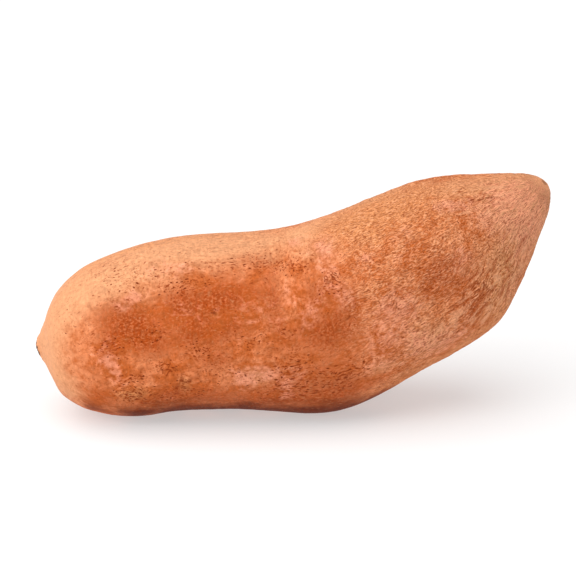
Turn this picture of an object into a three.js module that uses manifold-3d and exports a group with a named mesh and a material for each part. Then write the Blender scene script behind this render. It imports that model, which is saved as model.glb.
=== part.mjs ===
// A sweet potato: one storage root lying on its belly, with its neck to the left (-X) and its blunt
// far end raised at the right (+X). Millimetres, +Z up, origin under the middle of its box.
import * as THREE from "three";
import { mergeVertices } from "three/addons/utils/BufferGeometryUtils.js";
import Module from "manifold-3d";

// A ring is a cut across the root, given by where it crosses four lines: the back (the upper outline)
// and the belly, each [x, z] in the side view, and the front and rear, each y in the view from above.
const NECK_SCAR = { at: [-89.1, 21.8], y: 0 };
const RINGS = [
  { back: [-90.6, 24.6], belly: [-87.6, 19.0], front: -3.1, rear: 3.1 },
  { back: [-90.4, 25.7], belly: [-86.9, 18.5], front: -3.9, rear: 3.9 },
  { back: [-89.2, 27.9], belly: [-86.2, 17.6], front: -5.3, rear: 5.3 },
  { back: [-87.5, 31.0], belly: [-85.4, 16.0], front: -7.8, rear: 7.8 },
  { back: [-85.7, 36.2], belly: [-84.3, 13.8], front: -11.6, rear: 11.4 },
  { back: [-82.6, 43.2], belly: [-81.9, 9.0], front: -17.4, rear: 17.0 },
  { back: [-76.9, 49.3], belly: [-77.2, 4.5], front: -22.4, rear: 22.0 },
  { back: [-67.9, 54.4], belly: [-69.4, 1.1], front: -26.6, rear: 26.0 },
  { back: [-53.2, 59.3], belly: [-55.4, -0.4], front: -28.9, rear: 28.6 },
  { back: [-35.7, 62.8], belly: [-37.2, 1.7], front: -29.0, rear: 29.6 },
  { back: [-18.2, 63.5], belly: [-18.6, 1.9], front: -28.5, rear: 30.4 },
  { back: [-3.0, 64.8], belly: [-0.7, 0.1], front: -28.1, rear: 31.8 },
  { back: [8.6, 68.2], belly: [15.0, -0.3], front: -27.8, rear: 33.6 },
  { back: [19.2, 72.0], belly: [31.0, 6.0], front: -26.8, rear: 35.0 },
  { back: [29.4, 75.9], belly: [46.5, 15.0], front: -24.9, rear: 35.8 },
  { back: [38.5, 79.1], belly: [60.8, 22.5], front: -21.9, rear: 35.9 },
  { back: [48.3, 81.4], belly: [73.2, 32.2], front: -17.6, rear: 34.8 },
  { back: [58.8, 82.3], belly: [80.9, 46.0], front: -10.8, rear: 31.0 },
  { back: [69.3, 82.4], belly: [85.7, 58.8], front: -3.4, rear: 25.4 },
  { back: [78.2, 82.5], belly: [88.9, 67.8], front: 2.4, rear: 21.0 },
  { back: [84.6, 82.1], belly: [90.4, 73.6], front: 6.7, rear: 17.4 },
];
const FAR_TIP = { at: [88.7, 79.2], y: 12.1 };

// A ring is a little squarer than an ellipse, as a root pressed by the soil is.
const SQUARENESS = 2.15;

// Broad swellings and hollows of the flesh, by height at the middle. "x" is where along the root,
// "turn" is degrees round it from the middle of its front, up over the back, and "long" and "wide"
// are how far each reaches along the root and round it.
const FORMS = [
  { x: -53, turn: 25, height: -2.3, long: 13, wide: 9 },
  { x: -60, turn: 48, height: 1.3, long: 11, wide: 8 },
  { x: -40, turn: 62, height: 1.2, long: 15, wide: 9 },
  { x: -30, turn: 38, height: -1.5, long: 16, wide: 9 },
  { x: -66, turn: 0, height: 0.8, long: 11, wide: 12 },
  { x: -24, turn: -8, height: 1.0, long: 22, wide: 13 },
  { x: -3, turn: 40, height: -0.6, long: 12, wide: 10 },
  { x: 8, turn: 26, height: 0.8, long: 14, wide: 12 },
  { x: 20, turn: 4, height: -1.0, long: 13, wide: 12 },
  { x: 38, turn: 34, height: 0.8, long: 14, wide: 12 },
  { x: 50, turn: 12, height: -0.8, long: 13, wide: 12 },
  { x: 46, turn: -34, height: 0.8, long: 18, wide: 9 },
  { x: -60, turn: 150, height: -1.4, long: 18, wide: 14 },
  { x: -30, turn: 190, height: 1.2, long: 20, wide: 14 },
  { x: 6, turn: 156, height: -1.3, long: 18, wide: 14 },
  { x: 34, turn: 188, height: 1.1, long: 18, wide: 15 },
  { x: 60, turn: 140, height: -0.8, long: 14, wide: 10 },
  { x: 30, turn: 245, height: -0.9, long: 16, wide: 11 },
];

// The belly dips just under the ground, and is cut level there to give the root its flat spots. The
// soil is a block wider than the root that takes everything below.
const GROUND = 0;
const SOIL_SIZE = 400;

// Fineness of the skin: bands of triangles along the root, and points round each ring. A band is as
// wide as the root's radius there plus BAND_FLOOR allows, so bands are finer where the root is thin.
// They are found by walking the root in small steps.
const BANDS = 74;
const POINTS_ROUND = 44;
const BAND_FLOOR = 9;
const WALK_STEPS = 800;

const SKIN_COLOUR = 0xc87a4b;

const wasm = await Module();
wasm.setup();

// One smooth closed curve: out along one side of the root from neck to far end, and home along the
// other, so that it goes round both ends without a corner.
function closedCurve(neckPoint, outPoints, farPoint, homePoints) {
  const points = [neckPoint, ...outPoints, farPoint, ...homePoints.reverse()];
  return new THREE.CatmullRomCurve3(points, true, "catmullrom", 0.5);
}

const inSideView = ([x, z]) => new THREE.Vector3(x, 0, z);
const sideOutline = closedCurve(
  inSideView(NECK_SCAR.at),
  RINGS.map((ring) => inSideView(ring.back)),
  inSideView(FAR_TIP.at),
  RINGS.map((ring) => inSideView(ring.belly)),
);

const fromAbove = (y) => new THREE.Vector3(0, y, 0);
const planOutline = closedCurve(
  fromAbove(NECK_SCAR.y),
  RINGS.map((ring) => fromAbove(ring.front)),
  fromAbove(FAR_TIP.y),
  RINGS.map((ring) => fromAbove(ring.rear)),
);

// The ring at a share of the way from neck to far end: its middle, the half arrow from there to its
// back, and its half depth.
function ringAt(share) {
  const back = sideOutline.getPoint(share / 2);
  const belly = sideOutline.getPoint(1 - share / 2);
  const front = planOutline.getPoint(share / 2).y;
  const rear = planOutline.getPoint(1 - share / 2).y;
  const middle = back.clone().add(belly).multiplyScalar(0.5);
  middle.y = (front + rear) / 2;
  const toBack = back.clone().sub(belly).multiplyScalar(0.5);
  return { middle, toBack, halfDepth: (rear - front) / 2 };
}

// Shares of the way at which the bands meet.
function ringShares() {
  const travelled = [0];
  let last = ringAt(0);
  for (let step = 1; step <= WALK_STEPS; step += 1) {
    const next = ringAt(step / WALK_STEPS);
    const radius = next.toBack.length();
    const advance = next.middle.distanceTo(last.middle);
    const growth = Math.abs(radius - last.toBack.length());
    travelled.push(travelled[step - 1] + Math.hypot(advance, growth) / (radius + BAND_FLOOR));
    last = next;
  }
  const shares = [];
  let step = 0;
  for (let band = 1; band < BANDS; band += 1) {
    const wanted = (travelled[WALK_STEPS] * band) / BANDS;
    while (travelled[step + 1] < wanted) {
      step += 1;
    }
    const part = (wanted - travelled[step]) / (travelled[step + 1] - travelled[step]);
    shares.push((step + part) / WALK_STEPS);
  }
  return shares;
}

// How far the swellings and hollows lift the skin at a place along the root and round it.
function formHeight(x, turn, radius) {
  let height = 0;
  for (const form of FORMS) {
    const along = (x - form.x) / form.long;
    const apart = turn - THREE.MathUtils.degToRad(form.turn);
    const round = (Math.atan2(Math.sin(apart), Math.cos(apart)) * radius) / form.wide;
    height += form.height * Math.exp(-along * along - round * round);
  }
  return height;
}

// A point of the skin. Turn 0 is the middle of the front (-Y), and a quarter turn is the back.
function skinPoint(share, turn) {
  const { middle, toBack, halfDepth } = ringAt(share);
  const front = Math.cos(turn);
  const up = Math.sin(turn);
  const squared = Math.abs(front) ** SQUARENESS + Math.abs(up) ** SQUARENESS;
  const reach = squared ** (-1 / SQUARENESS);
  const radius = toBack.length();
  const lift = 1 + formHeight(middle.x, turn, radius) / radius;
  const point = middle.clone().addScaledVector(toBack, up * reach * lift);
  point.y -= front * reach * halfDepth * lift;
  return point;
}

// Closed skin: a fan of triangles at each end, and bands of triangles between the rings.
function rootSkin() {
  const positions = [];
  const faces = [];
  for (const share of ringShares()) {
    for (let side = 0; side < POINTS_ROUND; side += 1) {
      positions.push(...skinPoint(share, (side / POINTS_ROUND) * 2 * Math.PI));
    }
  }
  const lastRing = BANDS - 2;
  const neck = (lastRing + 1) * POINTS_ROUND;
  const far = neck + 1;
  positions.push(...ringAt(0).middle, ...ringAt(1).middle);
  for (let side = 0; side < POINTS_ROUND; side += 1) {
    const next = (side + 1) % POINTS_ROUND;
    faces.push(neck, side, next);
    for (let ring = 0; ring < lastRing; ring += 1) {
      const here = ring * POINTS_ROUND;
      const beyond = here + POINTS_ROUND;
      faces.push(here + side, beyond + side, beyond + next);
      faces.push(here + side, beyond + next, here + next);
    }
    const end = lastRing * POINTS_ROUND;
    faces.push(end + side, far, end + next);
  }
  const skin = new THREE.BufferGeometry();
  skin.setAttribute("position", new THREE.Float32BufferAttribute(positions, 3));
  skin.setIndex(faces);
  return skin;
}

// A closed geometry as a solid that can be cut, and back.
function toSolid(geometry) {
  const bare = geometry.clone();
  bare.deleteAttribute("normal");
  bare.deleteAttribute("uv");
  const merged = mergeVertices(bare);
  const vertProperties = new Float32Array(merged.attributes.position.array);
  const triVerts = new Uint32Array(merged.index.array);
  return new wasm.Manifold(new wasm.Mesh({ numProp: 3, vertProperties, triVerts }));
}

function toGeometry(solid) {
  const mesh = solid.getMesh();
  const geometry = new THREE.BufferGeometry();
  geometry.setAttribute("position", new THREE.BufferAttribute(mesh.vertProperties, 3));
  geometry.setIndex(new THREE.BufferAttribute(mesh.triVerts, 1));
  return geometry;
}

// Everything below the ground is cut away, which leaves the level spots that the root lies on.
function levelBelly(skin) {
  const soil = new THREE.BoxGeometry(SOIL_SIZE, SOIL_SIZE, SOIL_SIZE);
  soil.translate(0, 0, GROUND - SOIL_SIZE / 2);
  return toGeometry(toSolid(skin).subtract(toSolid(soil)));
}

function sweetPotato() {
  const geometry = levelBelly(rootSkin());
  geometry.computeBoundingBox();
  const middle = geometry.boundingBox.getCenter(new THREE.Vector3());
  geometry.translate(-middle.x, -middle.y, 0);
  geometry.computeVertexNormals();
  const skin = new THREE.MeshStandardMaterial({ color: SKIN_COLOUR, roughness: 0.6, metalness: 0 });
  const root = new THREE.Mesh(geometry, skin);
  root.name = "sweet_potato";
  return root;
}

const group = new THREE.Group();
group.add(sweetPotato());

export default group;
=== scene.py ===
import math

import bpy
import numpy as np
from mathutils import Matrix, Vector, noise
from mathutils.bvhtree import BVHTree


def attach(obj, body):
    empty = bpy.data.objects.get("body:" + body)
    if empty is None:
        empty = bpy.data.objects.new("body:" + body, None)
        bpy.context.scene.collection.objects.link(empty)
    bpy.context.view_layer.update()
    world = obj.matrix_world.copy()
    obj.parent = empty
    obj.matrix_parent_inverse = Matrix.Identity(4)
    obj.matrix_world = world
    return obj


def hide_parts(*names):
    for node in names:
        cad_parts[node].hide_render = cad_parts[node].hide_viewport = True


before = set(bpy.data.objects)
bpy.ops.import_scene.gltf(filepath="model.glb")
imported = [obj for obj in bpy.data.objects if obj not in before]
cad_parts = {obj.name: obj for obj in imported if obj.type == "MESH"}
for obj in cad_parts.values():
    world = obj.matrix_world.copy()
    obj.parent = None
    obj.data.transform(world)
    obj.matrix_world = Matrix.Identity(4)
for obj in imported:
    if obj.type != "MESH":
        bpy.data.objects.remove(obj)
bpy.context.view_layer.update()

# The storage root. The real one is a single swollen root: firm flesh under a dry skin thinner than
# paper. It grew whole, so it is one closed mesh: rings of points cast from its core out to the solid's
# surface and smoothed, then creased, furrowed and scarred as growth and drying leave them.

MM = 0.001

# The core line runs through the middle of the flesh, from the neck scar to the far tip, in mm.
CORE_LINE = [
    (-89.4, -3.4, 22.8),
    (-84.0, -3.6, 24.4),
    (-74.0, -4.0, 26.6),
    (-54.0, -3.8, 29.5),
    (-25.0, -2.8, 32.5),
    (3.0, -1.5, 33.0),
    (27.0, 1.4, 40.5),
    (52.0, 4.2, 53.5),
    (70.0, 6.7, 66.5),
    (80.0, 7.8, 74.0),
    (88.7, 8.7, 79.2),
]
CORE_STEPS = 600

# Rings in the first and the last share of the count fan out over the neck and over the far end, from
# points of the core line this far from its ends, in mm.
FAN_SHARE = 0.1
NECK_FAN = 3.2
FAR_FAN = 13.0

# The skin is finest over the far half, where it is creased: mm between rings at a distance from the
# neck measured over the skin, and points round a full ring.
RING_SPACING = {0: 0.4, 8: 0.55, 20: 1.1, 90: 1.1, 125: 0.86, 250: 0.86}
POINTS_ROUND = 384
FRONT = np.array([0.0, -1.0, 0.0])
# A first cast of fewer, evenly shared rays measures the way over the skin.
SCOUT_RINGS = 500
SCOUT_RAYS = 16


def line_through(points, shares):
    """Places at shares of the way along a smooth line through the points."""
    points = np.array(points, float)
    before = 2 * points[0] - points[1]
    after = 2 * points[-1] - points[-2]
    held = np.vstack([before, points, after])
    place = shares * (len(points) - 1)
    start = np.minimum(place.astype(int), len(points) - 2)
    t = (place - start)[:, None]
    a, b, c, d = (held[start + step] for step in range(4))
    bend = (2 * a - 5 * b + 4 * c - d) * t**2 + (3 * b - a - 3 * c + d) * t**3
    return b + 0.5 * ((c - a) * t + bend)


def unit(vectors):
    return vectors / np.linalg.norm(vectors, axis=-1, keepdims=True)


core = line_through(CORE_LINE, np.linspace(0, 1, CORE_STEPS))
core_length = np.r_[0, np.cumsum(np.linalg.norm(np.diff(core, axis=0), axis=1))]
core_heading = unit(np.gradient(core, axis=0))

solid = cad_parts["sweet_potato"].data
flesh = BVHTree.FromPolygons(
    [vertex.co / MM for vertex in solid.vertices],
    [face.vertices[:] for face in solid.polygons],
)


def ring_starts(shares):
    """Where each ring is cast from, the way along the root there, and how far the ring leans to it."""
    stages = (0, FAN_SHARE, 1 - FAN_SHARE, 1)
    body_end = core_length[-1] - FAR_FAN
    walked = np.interp(shares, stages, (NECK_FAN, NECK_FAN, body_end, body_end))
    lean = np.interp(shares, stages, (-math.pi / 2, 0, 0, math.pi / 2))
    starts = np.stack([np.interp(walked, core_length, way) for way in core.T], axis=1)
    heads = np.stack([np.interp(walked, core_length, way) for way in core_heading.T], axis=1)
    return starts, unit(heads), lean


def cast_rings(shares, turns):
    """Unit rays out from the core, one row for each ring, and how far each goes to meet the skin."""
    starts, heads, lean = ring_starts(shares)
    front = unit(FRONT - heads * (heads @ FRONT)[:, None])
    up = np.cross(front, heads)
    out = front[:, None] * np.cos(turns)[None, :, None] + up[:, None] * np.sin(turns)[None, :, None]
    rays = out * np.cos(lean)[:, None, None] + heads[:, None] * np.sin(lean)[:, None, None]
    reach = np.array(
        [
            [flesh.ray_cast(Vector(start), Vector(ray))[3] for ray in row]
            for start, row in zip(starts, rays)
        ]
    )
    return starts, rays, reach


scout_shares = np.linspace(0, 1, SCOUT_RINGS)
scout_turns = np.arange(SCOUT_RAYS) * 2 * math.pi / SCOUT_RAYS
starts, rays, reach = cast_rings(scout_shares, scout_turns)
scouted = starts[:, None] + rays * reach[..., None]
steps = np.linalg.norm(np.diff(scouted, axis=0), axis=2).mean(axis=1)
skin_walk = np.r_[0, np.cumsum(steps)]
spacing = np.interp(skin_walk, list(RING_SPACING), list(RING_SPACING.values()))
ring_count = np.r_[0, np.cumsum(steps / spacing[1:])]
shares = np.interp(np.linspace(0, ring_count[-1], round(ring_count[-1]) + 1), ring_count, scout_shares)
along = np.interp(shares, scout_shares, skin_walk)

turns = np.arange(POINTS_ROUND) * 2 * math.pi / POINTS_ROUND
starts, rays, reach = cast_rings(shares, turns)


def soften(field, rings, points):
    """The field blurred by about that many rings along the root and points round it."""
    for axis, spread in ((0, rings), (1, points)):
        total = 0
        weight = 0
        for shift in range(-3 * spread, 3 * spread + 1):
            share = math.exp(-0.5 * (shift / spread) ** 2)
            if axis == 1:
                moved = np.roll(field, shift, axis=1)
            else:
                moved = field[np.clip(np.arange(len(field)) + shift, 0, len(field) - 1)]
            total = total + share * moved
            weight += share
        field = total / weight
    return field


# The solid's flat faces are smoothed away, but less along the neck, which keeps its point.
NECK_POINT_END = (4, 9)
sharp_neck = soften(reach, 1, 4)
reach = soften(reach, 3, 5)
reach += (sharp_neck - reach) * np.interp(along, NECK_POINT_END, (1, 0))[:, None]
skin = starts[:, None] + rays * reach[..., None]
ring_middle = skin.mean(axis=1)
ring_radius = np.linalg.norm(skin - ring_middle[:, None], axis=2).mean(axis=1)

# Straightened place on the skin, in mm: distance from the neck over the skin, then round the root as
# if each ring were a circle. Patterns laid in it follow the root's bend and meet without a seam. The
# circle keeps its size past the shoulders, almost to the tips, so that strokes run on over both ends.
NECK_SHOULDER = 12
FAR_SHOULDER = 186
TIP = 9
shoulder_radius = np.interp(np.clip(along, NECK_SHOULDER, FAR_SHOULDER), along, ring_radius)
to_tip = np.minimum(along, along[-1] - along)
lap_radius = ring_radius + (shoulder_radius - ring_radius) * np.minimum(to_tip / TIP, 1)
straight = np.stack(
    [
        np.repeat(along[:, None], POINTS_ROUND, axis=1),
        lap_radius[:, None] * np.cos(turns),
        lap_radius[:, None] * np.sin(turns),
    ],
    axis=2,
)

# Relief of the skin, in mm along its normals. Broad swells and small lumps are the flesh's, crepe-like
# creases and furrows come where the skin dried over the far half, and faint ripples ring the rest.
SWELL = 0.4
LUMPS = 0.15
CREPE = 0.15
FURROWS = 0.34
RIPPLES = 0.045
BEND_SIZE = 9.0

# Blender seeds its vector noise from the clock unless it is told otherwise.
BEND_SEED = 1
noise.seed_set(BEND_SEED)

# The noise of each seed is read this far from that of the last, along and across.
SEED_STEP = 17.3
SEED_SIDESTEP = 5.1


def ramp(value, low, high):
    """0 below low, 1 above high and smooth between."""
    t = np.clip((value - low) / (high - low), 0, 1)
    return t * t * (3 - 2 * t)


def grain(long, wide, seed, octaves=2, bend=0.0):
    """Noise about 0 with features that long and that wide in mm, which bend to and fro by bend mm."""
    places = straight.reshape(-1, 3)
    if bend:
        drift = [noise.noise_vector(Vector(place) / BEND_SIZE) for place in places]
        places = places + bend * np.array(drift)
    places = places / (long, wide, wide) + seed * SEED_STEP
    heights = [noise.fractal(Vector(place), 1.0, 2.0, octaves) for place in places]
    return np.array(heights).reshape(reach.shape)


def spot(along_at, turn_at, long, wide, slant=0.0):
    """A soft mark, 1 in its middle, that fades along the root and round it. The slant is in degrees."""
    apart = turns - math.radians(turn_at)
    across = np.arctan2(np.sin(apart), np.cos(apart)) * ring_radius[:, None]
    onward = along[:, None] - along_at
    lean = math.radians(slant)
    u = onward * math.cos(lean) + across * math.sin(lean)
    v = across * math.cos(lean) - onward * math.sin(lean)
    return np.exp(-((u / long) ** 2) - (v / wide) ** 2)


# Where the skin is creased: it begins past the middle with a ragged edge, and is less so on the smooth
# band under the far half and at the far tip itself.
CREASES_BEGIN = (112, 142)
SMOOTH_TIP = 8
creased = ramp(along[:, None] + 9 * grain(13, 10, seed=1), *CREASES_BEGIN)
creased = creased * (1 - 0.6 * spot(154, -52, 15, 7)) * ramp(along[-1] - along[:, None], 0, SMOOTH_TIP)
creases = np.abs(grain(4.2, 1.5, seed=2, octaves=3, bend=3.0))
furrowed = spot(172, -30, 20, 9) + 0.35 * spot(190, 50, 14, 10) + 0.7 * spot(184, -150, 20, 14)
furrows = creased * np.minimum(furrowed + 0.25, 1) * grain(6, 1.25, seed=5, bend=3.0)

relief = SWELL * grain(24, 17, seed=3)
relief = relief + LUMPS * grain(6.5, 5, seed=4, octaves=3) * (0.6 + 0.7 * creased)
relief = relief + CREPE * creased * (0.4 - creases * 2.2)
relief = relief + FURROWS * furrows
relief = relief + RIPPLES * (1 - creased) * grain(2.2, 9, seed=6)

# Scars of lost rootlets, each a dent with a low rim: [along, turn, long, wide, slant, depth].
ROOTLET_SCARS = [
    (43.0, -24.0, 1.1, 0.5, -30, 0.4),
    (45.7, -28.0, 1.6, 0.7, -25, 0.5),
    (48.5, -30.0, 1.2, 0.5, -10, 0.3),
    (63.5, -24.0, 1.0, 0.6, 30, 0.35),
    (65.5, -21.0, 1.2, 2.2, 0, 0.5),
    (68.0, -20.0, 0.6, 1.3, -20, 0.3),
    (78.7, 27.0, 0.7, 1.1, 0, 0.18),
    (122.0, 36.0, 1.0, 0.6, -30, 0.2),
    (124.2, 12.0, 1.4, 0.5, 25, 0.15),
    (170.5, -20.0, 0.5, 1.6, 15, 0.3),
    (188.0, 46.0, 2.6, 0.6, -14, 0.3),
    (193.5, 42.0, 2.4, 0.5, -20, 0.3),
    (52.0, 150.0, 1.6, 1.0, 0, 0.5),
    (84.0, 205.0, 1.4, 0.8, 20, 0.5),
    (97.0, 246.0, 1.4, 0.7, 10, 0.4),
    (117.0, 148.0, 1.7, 0.8, -15, 0.5),
    (150.0, 190.0, 0.8, 1.6, 0, 0.4),
    (176.0, 158.0, 1.5, 0.7, 25, 0.4),
]
RIM_SPREAD = 1.8
RIM_SHARE = 0.4
pitted = np.zeros(reach.shape)
for along_at, turn_at, long, wide, slant, depth in ROOTLET_SCARS:
    dent = spot(along_at, turn_at, long, wide, slant)
    rim = spot(along_at, turn_at, long * RIM_SPREAD, wide * RIM_SPREAD, slant)
    relief = relief + depth * (RIM_SHARE * rim - dent)
    pitted = np.maximum(pitted, dent)

# A corky scar closes the neck, where the vine was cut, and a smaller and paler one the far tip, where
# the thin root broke off. Each is rough and a little sunk, with a drier middle. In mm.
NECK_SCAR = np.array([-89.2, -3.4, 21.9])
NECK_SCAR_RADIUS = 4.3
TIP_SCAR_RADIUS = 1.6
TIP_SCAR_SHARE = 0.45
SCAR_DEPTH = 0.35
from_neck_scar = np.linalg.norm(skin - NECK_SCAR, axis=2) / NECK_SCAR_RADIUS
from_tip_scar = np.linalg.norm(skin - skin[-1, 0], axis=2) / TIP_SCAR_RADIUS
from_scar = np.minimum(from_neck_scar, from_tip_scar) + 0.22 * grain(2.4, 2.4, seed=7)
cork = ramp(from_scar, 1.08, 0.92) * np.where(from_tip_scar < 2, TIP_SCAR_SHARE, 1)
pith = cork * ramp(from_scar, 0.75, 0.2)
relief = relief - SCAR_DEPTH * cork * (1 + 0.6 * grain(0.9, 0.9, seed=9))

round_skin = np.roll(skin, -1, axis=1) - np.roll(skin, 1, axis=1)
normals = unit(np.cross(np.gradient(skin, axis=0), round_skin))
outward = np.sign((normals * (skin - ring_middle[:, None])).sum(axis=2).mean())
skin = skin + normals * outward * relief[..., None]
skin[..., 2] = np.maximum(skin[..., 2], 0)

# Rings near the ends have fewer points, halved as they shrink, so that no face is a sliver.
FINEST_SHARE = 0.8
SMALLEST_RING = 12


def ring_stride(radius):
    stride = 1
    full = ring_radius.max()
    while radius / full < FINEST_SHARE / stride / 2 and POINTS_ROUND // (stride * 2) >= SMALLEST_RING:
        stride *= 2
    return stride


strides = [ring_stride(radius) for radius in ring_radius[1:-1]]
picked = [(0, 0)]
rows = []
for row, stride in enumerate(strides, start=1):
    columns = range(0, POINTS_ROUND, stride)
    rows.append(range(len(picked), len(picked) + len(columns)))
    picked += [(row, column) for column in columns]
picked.append((len(shares) - 1, 0))

faces = []
for near, far in zip(rows, rows[1:]):
    few, many = (near, far) if len(near) <= len(far) else (far, near)
    flip = few is not near
    share = len(many) // len(few)
    for index in range(len(few)):
        a, b = few[index], few[(index + 1) % len(few)]
        fan = [many[(index * share + step) % len(many)] for step in range(share + 1)]
        if share == 1:
            made = [(a, fan[0], fan[1], b)]
        else:
            made = [(a, fan[0], fan[1]), (a, fan[1], b), (b, fan[1], fan[2])]
        faces += [face[::-1] for face in made] if flip else made
for index in range(len(rows[0])):
    faces.append((0, rows[0][index], rows[0][(index + 1) % len(rows[0])]))
for index in range(len(rows[-1])):
    faces.append((len(picked) - 1, rows[-1][(index + 1) % len(rows[-1])], rows[-1][index]))

place = tuple(np.array(picked).T)
mesh = bpy.data.meshes.new("sweet_potato_skin")
mesh.from_pydata((skin[place] * MM).tolist(), [], faces)
mesh.update()
mesh.shade_smooth()
root = bpy.data.objects.new("sweet_potato_skin", mesh)
bpy.context.scene.collection.objects.link(root)
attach(root, "root")
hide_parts("sweet_potato")

# Patches of colour: [along, turn, long, wide, slant, strength], in mm and degrees. Each list has those
# of the front and the top first, then those of the rear and the belly.
RUST = [
    (37, -30, 6, 5, 0, 0.5),
    (44, 11, 5, 4, 0, 0.8),
    (44, 38, 5, 4, 0, 0.35),
    (47, 28, 7, 6, 0, 0.6),
    (52, -34, 9, 4, 0, 0.5),
    (52, 24, 7, 6, 0, 1.0),
    (55, 14, 6, 5, 0, 0.8),
    (60, 8, 6, 5, 0, 0.4),
    (64, -30, 10, 5, 0, 0.6),
    (69, 32, 9, 6, -8, 0.85),
    (72, 15, 9, 6, 0, 0.75),
    (75, -38, 8, 5, 0, 0.4),
    (78, -4, 7, 4, 0, 0.5),
    (80, 34, 10, 6, 0, 0.8),
    (83, 50, 5, 4, 0, 0.25),
    (84, 16, 9, 6, 0, 0.5),
    (87, 39, 8, 4, 0, 0.6),
    (91, 63, 8, 4, 0, 0.35),
    (95, 53, 6, 3, 0, 0.2),
    (96, -38, 20, 6, 0, 0.6),
    (98, 30, 4, 14, 10, 0.55),
    (108, 10, 8, 6, 0, 0.3),
    (110, -22, 14, 7, 0, 0.5),
    (114, 33, 4, 5, 0, 0.5),
    (116, -38, 9, 6, 0, 0.5),
    (118, 8, 10, 9, 0, 0.75),
    (121, 30, 5, 4, 0, 0.4),
    (128, 20, 4, 5, 0, 0.6),
    (157, 3, 8, 6, 0, 0.5),
    (162, 12, 8, 6, 0, 0.65),
    (163, -31, 5, 4, 0, 0.45),
    (164, -21, 5, 5, 0, 0.45),
    (167, -4, 9, 5, 20, 0.5),
    (60, 235, 14, 9, 0, 0.7),
    (66, 150, 14, 9, 10, 0.6),
    (104, 172, 12, 8, -10, 0.7),
    (128, 226, 16, 8, 10, 0.7),
    (150, 160, 14, 9, 0, 0.7),
    (176, 205, 12, 9, 0, 0.7),
]
BLOOM = [
    (41, 2, 4, 5, 0, 0.6),
    (43, -4, 3, 8, 15, 0.7),
    (51, 41, 6, 3.5, 20, 0.9),
    (61, 64, 6, 5, 0, 0.6),
    (69, 57, 7, 4, 0, 0.6),
    (70, 30, 5, 3, 0, 0.5),
    (88, -20, 6, 5, 0, 1.0),
    (91, 22, 13, 8, 0, 0.35),
    (94, 28, 6, 3, 0, 0.4),
    (95, -16, 5, 4, 0, 1.0),
    (101, -30, 3, 7, 0, 0.8),
    (104, 38, 6, 4, -15, 0.5),
    (105, -18, 5, 4, 0, 0.6),
    (109, 19, 3, 5, 0, 0.7),
    (112, 24, 5, 3, 0, 0.4),
    (112, 74, 6, 3, 0, 0.9),
    (117, 29, 2.5, 8, -30, 0.5),
    (120, 33, 6, 4, -20, 0.6),
    (124, 43, 8, 2.5, -25, 0.7),
    (124, 60, 9, 6, 0, 0.7),
    (125, 57, 4, 5, 0, 0.8),
    (126, 22, 4, 4, 0, 0.6),
    (126, 28, 3, 4, 0, 0.7),
    (129, -27, 6, 4, 0, 0.6),
    (131, -12, 7, 6, 0, 0.6),
    (137, -15, 6, 5, 0, 0.4),
    (139, 40, 5, 3, 0, 0.7),
    (140, 8, 7, 5, 0, 0.4),
    (141, 0, 10, 7, 0, 0.8),
    (143, 7, 6, 6, 0, 0.8),
    (144, -24, 8, 6, 0, 0.8),
    (149, -38, 16, 6, 0, 0.4),
    (151, -34, 8, 5, 0, 0.5),
    (151, 30, 5, 4, 0, 0.5),
    (154, -40, 8, 5, 0, 0.5),
    (156, 45, 5, 3, 0, 0.6),
    (169, 5, 5, 4, 0, 0.6),
    (171, 16, 6, 5, 0, 0.5),
    (176, 52, 5, 3, 0, 1.0),
    (177, -44, 10, 6, 0, 0.35),
    (181, -48, 8, 5, 0, 0.5),
    (182, 46, 5, 3, 0, 1.0),
    (185, 22, 6, 5, 0, 0.6),
    (190, 33, 8, 5, 0, 0.6),
    (196, -25, 12, 10, 0, 0.8),
    (198, 15, 11, 12, 0, 0.9),
    (200, 0, 12, 16, 0, 0.7),
    (205, 5, 7, 9, 0, 0.7),
    (207, -14, 8, 8, 0, 0.7),
    (46, 168, 8, 5, 20, 0.7),
    (84, 140, 9, 5, -20, 0.7),
    (92, 215, 7, 6, 0, 0.8),
    (134, 140, 8, 5, 15, 0.7),
    (152, 232, 9, 5, 0, 0.7),
    (190, 160, 9, 7, 0, 0.6),
]
# Pale skin. Over the upper left and the top, these patches also hold painted highlight: the skin's soft
# sheen painted into its colour.
PALE_AND_SHEEN = [
    (16, 25, 12, 24, 0, 1.0),
    (18, 110, 16, 24, 0, 0.9),
    (24, -30, 8, 8, 0, 0.6),
    (27, 47, 7, 7, 0, 0.7),
    (42, 62, 20, 12, 0, 1.0),
    (44, 108, 24, 16, 0, 0.8),
    (60, 78, 12, 9, 0, 0.6),
    (76, 78, 22, 11, 0, 1.0),
    (90, 112, 26, 14, 0, 0.7),
    (92, -18, 8, 5, 0, 0.5),
    (94, 80, 10, 5, 0, 0.5),
    (98, 64, 6, 4, 0, 0.4),
    (109, -27, 8, 5, 0, 0.3),
    (117, 60, 7, 6, 0, 0.5),
    (118, 82, 16, 8, 0, 0.9),
    (127, 60, 6, 5, 0, 0.5),
    (128, -29, 6, 4, 0, 0.5),
    (146, -22, 8, 6, 0, 0.4),
    (148, -30, 7, 7, 0, 0.5),
    (150, 96, 28, 12, 0, 0.7),
    (170, -3, 6, 4, 0, 0.4),
    (176, -42, 12, 8, 0, 0.6),
    (180, -24, 8, 7, 0, 0.4),
    (186, 70, 14, 8, 0, 0.6),
    (198, -5, 16, 20, 0, 0.8),
    (201, 72, 9, 9, 0, 0.6),
    (205, -25, 12, 14, 0, 1.0),
    (211, 40, 8, 14, 0, 0.9),
    (24, 210, 12, 16, 0, 0.7),
]
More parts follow.
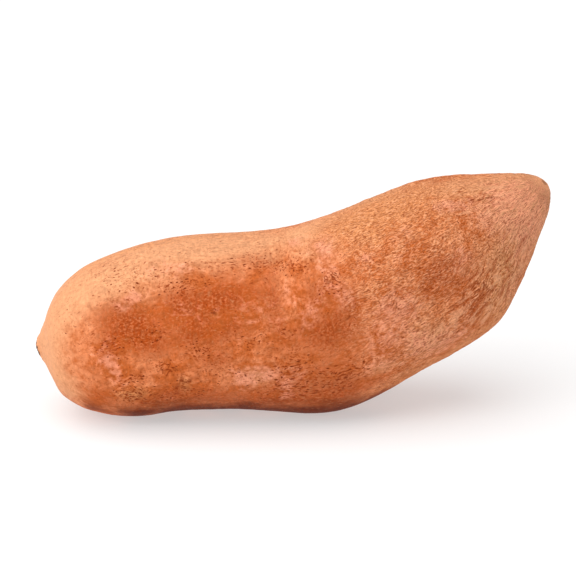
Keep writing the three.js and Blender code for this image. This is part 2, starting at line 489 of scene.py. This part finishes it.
TAN = [
    (49, -28, 7, 4, 0, 1.0),
    (60, 96, 40, 5, 0, 0.5),
    (66.5, -25, 3, 5, 0, 0.9),
    (79, 25, 2, 2, 0, 0.9),
    (108, -62, 7, 3, 0, 1.0),
    (150, 70, 30, 12, 0, 0.6),
    (152, -56, 26, 8, 0, 0.6),
    (180, -30, 14, 7, 30, 0.4),
    (52, 255, 8, 5, 0, 0.7),
    (104, 262, 9, 4, 0, 0.8),
    (140, 200, 16, 10, 0, 0.5),
]
PORES = [
    (44, 10, 6, 4, 0, 0.8),
    (48, -26, 7, 5, 0, 0.85),
    (48, 62, 12, 9, 0, 0.4),
    (50, -12, 5, 2, 0, 0.9),
    (50, 24, 7, 5, 0, 0.3),
    (56, 14, 6, 4, 0, 0.7),
    (62, -8, 5, 3, 0, 0.9),
    (64, -30, 9, 4, 0, 0.7),
    (70, 45, 8, 4, 0, 0.8),
    (73, 2, 6, 3, 0, 0.9),
    (80, -17, 8, 6, 0, 0.6),
    (90, 7, 5, 3, 0, 0.8),
    (90, 60, 12, 5, 0, 0.5),
    (98, 57, 10, 3, 0, 0.4),
    (102, -30, 10, 5, 0, 0.6),
    (103, -11, 6, 4, 0, 0.9),
    (110, 54, 8, 4, 0, 0.7),
    (117, -25, 8, 5, 0, 1.0),
    (122, 36, 6, 5, 0, 0.9),
    (170, -20, 5, 4, 0, 1.0),
    (190, 42, 7, 2.5, 0, 0.9),
    (60, 165, 9, 5, 0, 0.8),
    (78, 250, 8, 4, 0, 0.7),
    (98, 150, 8, 5, 0, 0.8),
    (112, 215, 10, 5, 0, 0.8),
]


def patches(marks):
    """The marks laid over the skin together, from 0 where there is none up to 1."""
    bare = 1.0
    for along_at, turn_at, long, wide, slant, strength in marks:
        bare = bare * (1 - strength * spot(along_at, turn_at, long, wide, slant))
    return 1 - bare


# Painted shade: the lower edge is darkened towards the floor, from past the neck on, less at the rear, and
# the belly in patches.
LOW_SHADE_HEIGHTS = (15, 6)
LOW_SHADE_BEGINS = (22, 52)
low_shade = ramp(skin[..., 2] + 2.5 * grain(8, 5, seed=8), *LOW_SHADE_HEIGHTS)
low_shade = low_shade * ramp(along[:, None] + 22 * grain(12, 9, seed=10), *LOW_SHADE_BEGINS)
beneath = ramp(-np.sin(turns), 0.9, 0.985)
at_rear = ramp(-np.cos(turns), 0.1, 0.6)
shade_patches = ramp(grain(10, 7, seed=11, octaves=4), -0.25, 0.3)
low_shade = low_shade * (1 - beneath * (0.85 - 0.6 * shade_patches)) * (1 - at_rear * 0.5)

for name, field in {
    "creased": creased,
    "rust": patches(RUST),
    "bloom": patches(BLOOM),
    "pale_and_sheen": patches(PALE_AND_SHEEN),
    "tan": patches(TAN),
    "pores": patches(PORES),
    "pitted": pitted,
    "furrows": furrows,
    "cork": cork,
    "pith": pith,
    "low_shade": low_shade,
}.items():
    held = mesh.attributes.new(name, "FLOAT", "POINT")
    held.data.foreach_set("value", np.broadcast_to(field, reach.shape)[place].astype(np.float32))
held = mesh.attributes.new("straight", "FLOAT_VECTOR", "POINT")
held.data.foreach_set("vector", straight[place].astype(np.float32).ravel())


class Wire:
    """A socket of the skin's nodes, with the arithmetic that shader expressions need."""

    tree = None

    def __init__(self, socket):
        self.socket = socket

    @classmethod
    def node(cls, kind, settings, inputs, output=0):
        """The output of a new node, after its settings are made and its sockets are set or linked."""
        made = cls.tree.nodes.new(kind)
        for name, value in settings.items():
            setattr(made, name, value)
        for name, value in inputs.items():
            if isinstance(value, Wire):
                cls.tree.links.new(value.socket, made.inputs[name])
            else:
                made.inputs[name].default_value = value
        return cls(made.outputs[output])

    def maths(self, operation, first, second):
        return self.node("ShaderNodeMath", {"operation": operation}, {0: first, 1: second})

    def __add__(self, other):
        return self.maths("ADD", self, other)

    def __radd__(self, other):
        return self.maths("ADD", other, self)

    def __sub__(self, other):
        return self.maths("SUBTRACT", self, other)

    def __rsub__(self, other):
        return self.maths("SUBTRACT", other, self)

    def __mul__(self, other):
        return self.maths("MULTIPLY", self, other)

    def __rmul__(self, other):
        return self.maths("MULTIPLY", other, self)

    def ramp(self, low, high):
        """0 below low, 1 above high and smooth between. High may be the lower of the two."""
        settings = {"interpolation_type": "SMOOTHSTEP"}
        return self.node("ShaderNodeMapRange", settings, {"Value": self, "From Min": low, "From Max": high})

    def near(self, value, reach):
        """1 at the value, and 0 at that reach from it or further."""
        return self.maths("ABSOLUTE", self - value, 0.0).ramp(reach, 0.0)

    def blend(self, bare, covered):
        """The first colour where this mask is 0 and the second where it is 1."""
        settings = {"data_type": "RGBA"}
        return self.node("ShaderNodeMix", settings, {0: self, 6: bare, 7: covered}, 2)

    def times(self, factors):
        """This vector times another, axis by axis."""
        return self.node("ShaderNodeVectorMath", {"operation": "MULTIPLY"}, {0: self, 1: factors})

    def plus(self, shift):
        return self.node("ShaderNodeVectorMath", {"operation": "ADD"}, {0: self, 1: shift})

    def scaled(self, value):
        """This colour times a value."""
        return self.node("ShaderNodeVectorMath", {"operation": "SCALE"}, {0: self, "Scale": value})


def colour(red, green, blue):
    """A colour given as the eye sees it, from 0 to 255, for a socket that takes light."""
    seen = (red / 255, green / 255, blue / 255)
    return tuple(((part + 0.055) / 1.055) ** 2.4 for part in seen) + (1.0,)


LIGHT_ORANGE = colour(208, 121, 76)
DEEP_ORANGE = colour(188, 94, 42)
# Pale skin, and painted highlight over the upper left and the top.
PALE_SHEEN_ORANGE = colour(216, 151, 108)
# Rust-red skin, also used as painted shade in the furrow valleys.
RUST_AND_SHADE_SKIN = colour(158, 62, 6)
BLOOM_SKIN = colour(222, 144, 113)
TAN_SKIN = colour(207, 136, 85)
# The dark brown of the painted shade along the lower edge.
LOW_SHADE_BROWN = colour(106, 38, 3)
PORE_BROWN = colour(116, 42, 4)
# The colour of dark specks and rust grit, and painted shade in the crepe's pits and creases.
SPECK_AND_SHADE_BROWN = colour(134, 48, 4)
# Painted highlight on the crepe's crests, ridges and furrow tops.
CREST_HIGHLIGHT_ORANGE = colour(240, 172, 130)
CORK_BROWN = colour(70, 44, 26)
PITH_BROWN = colour(128, 92, 60)
DRY_SHEEN = 0.06

material = bpy.data.materials.new("sweet_potato_skin")
material.use_nodes = True
Wire.tree = material.node_tree
shader = Wire.tree.nodes["Principled BSDF"]
shader.inputs["Specular IOR Level"].default_value = DRY_SHEEN


def painted(name):
    """A mask painted on the mesh."""
    return Wire.node("ShaderNodeAttribute", {"attribute_name": name}, {}, "Fac")


def laid_over(under, layers):
    """The colour with each layer's colour laid over it in turn, as far as that layer's mask covers."""
    for mask, over in layers:
        under = mask.blend(under, over)
    return under


# The grain follows the straightened place on the skin, or that place pushed to and fro in mm.
PUSH = 4.0
GENTLE_PUSH = 2.0
lie = Wire.node("ShaderNodeAttribute", {"attribute_name": "straight"}, {}, "Vector")
drift = Wire.node("ShaderNodeTexNoise", {}, {"Vector": lie, "Scale": 0.15, "Detail": 1.0}, "Color")
bent = lie.plus(drift.times((PUSH, PUSH, PUSH)))
wavy = lie.plus(drift.times((GENTLE_PUSH, GENTLE_PUSH, GENTLE_PUSH)))


def stretched(course, long, wide, seed):
    """The course of a pattern with features that long and that wide in mm, apart from other seeds."""
    squeezed = course.times((1 / long, 1 / wide, 1 / wide))
    return squeezed.plus((seed * SEED_STEP, seed * SEED_SIDESTEP, 0.0))


def clouds(long, wide, detail, seed, course=bent):
    """Noise from 0 to 1."""
    at = stretched(course, long, wide, seed)
    return Wire.node("ShaderNodeTexNoise", {}, {"Vector": at, "Scale": 1.0, "Detail": detail})


def dashes(long, wide, seed, density, size):
    """Short dashes, each in a cell of its own, in the share of the cells that the density gives."""
    at = stretched(bent, long, wide, seed)
    depth = Wire.node("ShaderNodeTexVoronoi", {}, {"Vector": at, "Scale": 1.0}, "Distance")
    cell = Wire.node("ShaderNodeTexVoronoi", {}, {"Vector": at, "Scale": 1.0}, "Color")
    draw = Wire.node("ShaderNodeSeparateColor", {}, {"Color": cell})
    return depth.ramp(size, size * 0.4) * (density - draw).ramp(0.0, 0.06)


mottle = clouds(9, 6.5, 3.0, 1)
blotch = clouds(3.6, 2.8, 3.0, 2)
flecks = clouds(1.7, 1.3, 2.0, 3)
grit = clouds(0.85, 0.7, 1.0, 4, lie)
hoops = clouds(0.7, 2.6, 2.0, 5, lie)
clusters = clouds(14, 11, 2.0, 6)
speckle = clouds(1.15, 0.6, 1.0, 8)

# The skin is calm next to the neck, and a little lighter at the far end.
from_neck = Wire.node("ShaderNodeSeparateXYZ", {}, {"Vector": lie}, "X")
past_neck = from_neck.ramp(12.0, 48.0)
far_end = from_neck.ramp(180.0, 208.0)
liveliness = 0.35 + past_neck * 0.65
creased_skin = painted("creased")
smooth_skin = 1 - creased_skin

# The broad colours. The edges of the patches are ragged, and those of rust are broken up by the grain.
edge = (mottle - 0.5) * 0.8 + (blotch - 0.5) * 0.8 + (flecks - 0.5) * 0.6
granular = (hoops - 0.5) * 1.4 + (grit - 0.5)
rust_mask = (painted("rust") * (1 + edge * 1.5 + granular)).ramp(0.0, 1.05)
bloom_mask = (painted("bloom") * 0.9 + (blotch + flecks * 0.8 - 0.9) * 1.5).ramp(0.2, 1.1)
pale_and_sheen_mask = (painted("pale_and_sheen") * 1.1 + edge * 0.5).ramp(0.0, 1.0)
tan_mask = (painted("tan") + creased_skin * 0.35 + edge * 0.9).ramp(0.1, 1.0)
hue = (mottle * 0.7 + blotch * 0.3 + edge * 0.3).ramp(0.34, 0.64).blend(DEEP_ORANGE, LIGHT_ORANGE)
broad_colours = [
    # Pale skin, with painted highlight over the upper left and the top.
    (pale_and_sheen_mask, PALE_SHEEN_ORANGE),
    (tan_mask * 0.8, TAN_SKIN),
    (rust_mask * 0.9, RUST_AND_SHADE_SKIN),
    (bloom_mask * 0.75, BLOOM_SKIN),
    # Painted shade along the lower edge, darker towards the floor.
    (painted("low_shade"), LOW_SHADE_BROWN),
]
hue = laid_over(hue, broad_colours)

# The creased skin is a crepe of short strokes along the root, with thin ridges and creases run through it.
# The furrows are deeper and longer. Its crests, ridges and furrow tops are made lighter as painted
# highlight, and its pits, creases and furrow valleys darker as painted shade.
coarse = clouds(2.1, 0.5, 1.0, 10, wavy)
fine = clouds(1.1, 0.32, 1.0, 11, wavy)
crepe = (coarse - 0.5) * 0.65 + (fine - 0.5) * 0.9
clumps = (blotch * 0.6 + mottle * 0.4).ramp(0.42, 0.58)
crest_highlight = crepe.ramp(0.04, 0.17) * creased_skin * (0.6 + clumps * 0.5)
pit_shade = crepe.ramp(-0.04, -0.16) * creased_skin * (0.5 + clumps * 0.7)
ridge = clouds(2.4, 0.75, 1.0, 12, wavy).near(0.5, 0.03) * creased_skin
crease = clouds(2.8, 0.85, 1.0, 13, wavy).near(0.5, 0.028) * creased_skin
furrow_height = painted("furrows")
tone_and_crepe_shading = (grit - 0.5) * 0.2 + (flecks - 0.5) * (0.4 + smooth_skin * 0.4) + (hoops - 0.5) * 0.5 * smooth_skin
tone_and_crepe_shading = 1 + (tone_and_crepe_shading + (blotch - 0.5) * 0.35) * liveliness
# Painted highlight and shade: the crepe makes its crests lighter and its pits darker.
tone_and_crepe_shading = tone_and_crepe_shading + (crepe + 0.04) * creased_skin + far_end * 0.12
# Painted highlight on crests, ridges and furrow tops, and painted shade in pits, creases and furrow
# valleys.
crepe_highlights_and_shade = [
    (crest_highlight * 0.6, CREST_HIGHLIGHT_ORANGE),
    (pit_shade * 0.5, SPECK_AND_SHADE_BROWN),
    (ridge * 0.5, CREST_HIGHLIGHT_ORANGE),
    (furrow_height.ramp(0.06, 0.36) * 0.5, CREST_HIGHLIGHT_ORANGE),
    (furrow_height.ramp(-0.08, -0.4) * 0.5, RUST_AND_SHADE_SKIN),
    (crease * 0.5, SPECK_AND_SHADE_BROWN),
]
hue = laid_over(hue.scaled(tone_and_crepe_shading), crepe_highlights_and_shade)

# Rust is gritty. The smooth skin has pores, as dark dashes in clusters, and specks, freckles and grime
# between them.
pore_density = painted("pores") * 0.9 + painted("pitted") * 0.8 + (clusters - 0.5) * 0.8
pore_density = pore_density.ramp(-0.02, 0.95)
dash = dashes(1.7, 0.85, 7, (pore_density * 0.75 + 0.03) * smooth_skin, 0.39)
speck = (speckle - pore_density * 0.14).ramp(0.32, 0.275) * liveliness
glint = speckle.ramp(0.6, 0.78) * smooth_skin * liveliness
patchy = (clusters * 0.5 + mottle * 0.5).ramp(0.4, 0.6) * (1 - pale_and_sheen_mask * 0.6)
freckle = clouds(0.6, 1.2, 1.0, 9).ramp(0.42, 0.31) * (1 - creased_skin * 0.6) * patchy
grime = (0.08 + patchy * 0.4 + pore_density * 0.5) * smooth_skin * (0.2 + past_neck * 0.8)
fine_marks = [
    (grit.ramp(0.5, 0.68) * rust_mask * 0.55, LIGHT_ORANGE),
    (grit.ramp(0.48, 0.32) * rust_mask * 0.5, SPECK_AND_SHADE_BROWN),
    (glint * 0.3, PALE_SHEEN_ORANGE),
    (grit.ramp(0.46, 0.3) * grime, RUST_AND_SHADE_SKIN),
    (freckle * 0.25 * past_neck, RUST_AND_SHADE_SKIN),
    (speck * 0.75, SPECK_AND_SHADE_BROWN),
    (dash, PORE_BROWN),
]
hue = laid_over(hue, fine_marks)

# The rootlet scars are dark inside, and the corky ones have a paler middle.
cork_mask = painted("cork")
scar_colours = [
    (painted("pitted") * flecks.ramp(0.62, 0.38), PORE_BROWN),
    (cork_mask * (0.55 + grit * 0.8), CORK_BROWN),
    (painted("pith") * flecks.ramp(0.3, 0.6) * 0.7, PITH_BROWN),
]
hue = laid_over(hue, scar_colours)

# Heights in mm of the finest relief, which is smaller than a face of the mesh.
height = (hoops * 0.07 * smooth_skin + grit * 0.04 + flecks * 0.06) * liveliness
height = height + crepe * 0.26 * creased_skin + ridge * 0.05 - crease * 0.06
height = height - dash * 0.06 - speck * 0.02
bump = Wire.node("ShaderNodeBump", {}, {"Height": height, "Distance": MM})
roughness = 0.5 + creased_skin * 0.12 + blotch * 0.1 + cork_mask * 0.2
for name, wire in {"Base Color": hue, "Normal": bump, "Roughness": roughness}.items():
    Wire.tree.links.new(wire.socket, shader.inputs[name])
mesh.materials.append(material)

# The floor is a plain white sheet, a hair below the root, lit a little from beneath as a light table.
FLOOR_HALF = 6.0
FLOOR_DROP = 0.05 * MM
floor_mesh = bpy.data.meshes.new("floor")
corners = [(-1, -1), (1, -1), (1, 1), (-1, 1)]
spread = [(x * FLOOR_HALF, y * FLOOR_HALF, -FLOOR_DROP) for x, y in corners]
floor_mesh.from_pydata(spread, [], [(0, 1, 2, 3)])
floor = bpy.data.objects.new("floor", floor_mesh)
bpy.context.scene.collection.objects.link(floor)
sheet = bpy.data.materials.new("white_sheet")
sheet.use_nodes = True
sheet_shader = sheet.node_tree.nodes["Principled BSDF"]
sheet_shader.inputs["Base Color"].default_value = (0.5, 0.5, 0.5, 1)
sheet_shader.inputs["Roughness"].default_value = 1.0
sheet_shader.inputs["Specular IOR Level"].default_value = 0.0
sheet_shader.inputs["Emission Color"].default_value = (1, 1, 1, 1)
sheet_shader.inputs["Emission Strength"].default_value = 0.45
floor_mesh.materials.append(sheet)

# Soft studio light: a wide soft key from above, a softbox at the left in front and a white room.
world = bpy.data.worlds.new("room")
world.use_nodes = True
world.node_tree.nodes["Background"].inputs["Color"].default_value = (1, 1, 1, 1)
world.node_tree.nodes["Background"].inputs["Strength"].default_value = 0.55
bpy.context.scene.world = world


def aim(lamp, place):
    lamp.location = place
    lamp.rotation_euler = (Vector((0, 0, 0.04)) - Vector(place)).to_track_quat("-Z", "Y").to_euler()
    bpy.context.scene.collection.objects.link(lamp)


key = bpy.data.lights.new("key", "SUN")
key.energy = 2.1
key.angle = math.radians(80)
aim(bpy.data.objects.new("key", key), (-0.25, -0.1, 1.0))

softbox = bpy.data.lights.new("softbox", "AREA")
softbox.shape = "DISK"
softbox.size = 0.5
softbox.energy = 4.2
aim(bpy.data.objects.new("softbox", softbox), (-0.8, -0.55, 0.5))

# The camera looks along the root's side from 20 degrees above, with a long lens.
ELEVATION = math.radians(20)
LENS = 180.0
SENSOR = 36.0
FRAME_WIDTH = 201.6 * MM
AIM = Vector((-1.4, 0, 43.9)) * MM
distance = FRAME_WIDTH * LENS / SENSOR
view = bpy.data.cameras.new("view")
view.lens = LENS
view.sensor_width = SENSOR
view.clip_end = 20
camera = bpy.data.objects.new("view", view)
camera.location = AIM + Vector((0, -math.cos(ELEVATION), math.sin(ELEVATION))) * distance
camera.rotation_euler = (math.pi / 2 - ELEVATION, 0, 0)
bpy.context.scene.collection.objects.link(camera)
bpy.context.scene.camera = camera
bpy.context.scene.view_settings.view_transform = "Standard"
